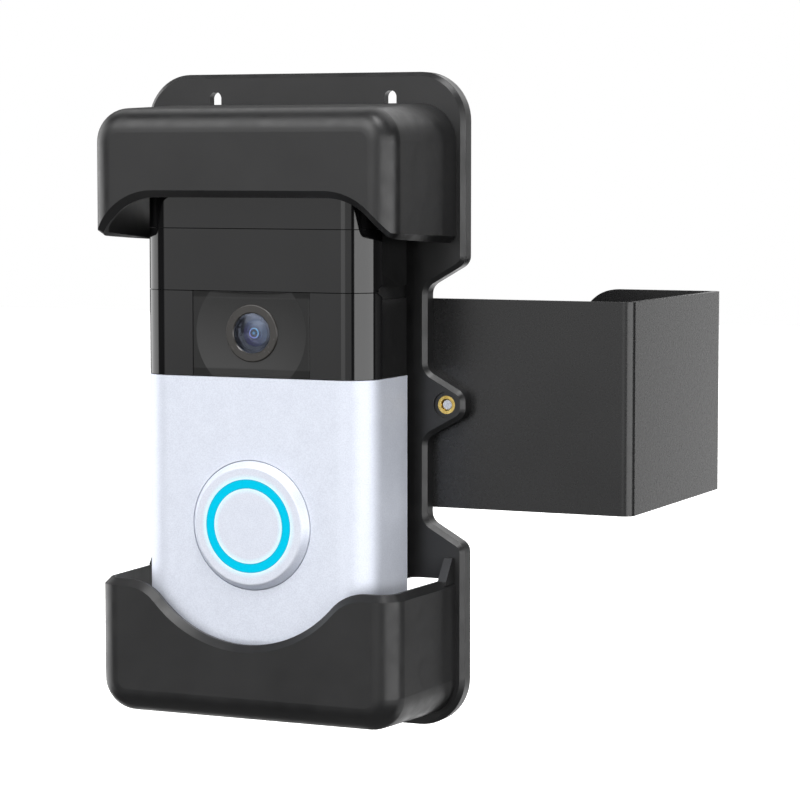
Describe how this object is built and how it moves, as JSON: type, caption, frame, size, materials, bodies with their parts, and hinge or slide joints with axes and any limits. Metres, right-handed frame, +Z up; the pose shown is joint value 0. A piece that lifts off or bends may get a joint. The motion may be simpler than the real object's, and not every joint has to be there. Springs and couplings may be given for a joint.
{
  "type": "video doorbell",
  "caption": "Slim video doorbell with camera, lit push button and weather hood, held in a plastic holder on a steel clamp that grips a door's edge without drilling.",
  "frame": {"origin": "on the pad's face that bears on the door, on the holder's centre line and halfway up the clamp", "axes": "+X towards the edge of the door, +Y into the door (the doorbell looks along -Y), +Z up"},
  "size_m": [0.1306, 0.1339, 0.161],
  "materials": {
    "holder_plastic": "fine moulded satin texture",
    "clamp_steel": "satin powder coat",
    "foam": "closed-cell foam",
    "rubber": "ribbed, matt",
    "zinc_steel": "bright zinc plate",
    "tinned_steel": "tinned",
    "black_steel": "black oxide",
    "brass": "turned",
    "housing_plastic": "fine spark texture",
    "gloss_black": "polished",
    "clear_plastic": "clear epoxy",
    "white_plastic": "moulded",
    "lens_glass": "coated",
    "circuit_board": "solder mask",
    "battery_wrap": "shrink wrap",
    "silver_finish": "satin metallic paint",
    "light_guide": "lit translucent ring, emissive"
  },
  "bodies": {
    "root": {"holder_shell": "holder_plastic", "tab_inserts": "brass", "clamp_fixing_screws": "zinc_steel", "door_clamp": "clamp_steel", "front_pad": "foam", "rivet_nuts": "zinc_steel", "bell_bracket": "housing_plastic", "bracket_screws": "zinc_steel", "rear_housing": "housing_plastic", "housing_gasket": "rubber", "front_frame": "housing_plastic", "housing_screws": "zinc_steel", "top_cap": "gloss_black", "motion_lens": "gloss_black", "camera_cover": "gloss_black", "camera_panel": "gloss_black", "lens_bezel": "gloss_black", "lens_glass": "lens_glass", "lens_barrel": "housing_plastic", "sensor_board": "circuit_board", "infrared_leds": "clear_plastic", "motion_sensors": "zinc_steel", "main_board": "circuit_board", "radio_shield": "tinned_steel", "microphones": "tinned_steel", "tact_switch": "housing_plastic", "wifi_antenna": "brass", "battery": "battery_wrap", "speaker": "housing_plastic", "usb_socket": "tinned_steel", "terminal_screws": "brass", "faceplate": "silver_finish", "security_screws": "black_steel", "ring_light_board": "circuit_board", "ring_leds": "white_plastic"},
    "pressure_plate": {"pressure_plate": "clamp_steel", "pressure_pad": "rubber"},
    "upper_screw": {"upper_clamp_screw": "black_steel", "upper_retaining_ring": "zinc_steel"},
    "lower_screw": {"lower_clamp_screw": "black_steel", "lower_retaining_ring": "zinc_steel"},
    "button": {"button_cap": "silver_finish", "button_light_ring": "light_guide", "button_spring": "zinc_steel", "switch_plunger": "white_plastic"}
  },
  "joints": [
    {"name": "button_press", "type": "slide", "parent": "root", "child": "button", "axis": [0, 1, 0], "range_m": [0, 0.0008], "stiffness_N_per_m": 900, "springref_m": -0.0012, "deforming": ["button_spring"]},
    {"name": "clamp_slide", "type": "slide", "parent": "root", "child": "pressure_plate", "axis": [0, -1, 0], "range_m": [-0.0125, 0.0145]},
    {"name": "upper_screw_turn", "type": "hinge", "parent": "pressure_plate", "child": "upper_screw", "pos_m": [0.066, 0.06, 0.013], "axis": [0, -1, 0], "range_deg": [-5626, 6526]},
    {"name": "lower_screw_turn", "type": "hinge", "parent": "pressure_plate", "child": "lower_screw", "pos_m": [0.066, 0.06, -0.013], "axis": [0, -1, 0], "range_deg": [-5626, 6526]}
  ],
  "couplings": [
    {"joint": "upper_screw_turn", "follows": "clamp_slide", "rad_per_m": 7854},
    {"joint": "lower_screw_turn", "follows": "clamp_slide", "rad_per_m": 7854}
  ]
}
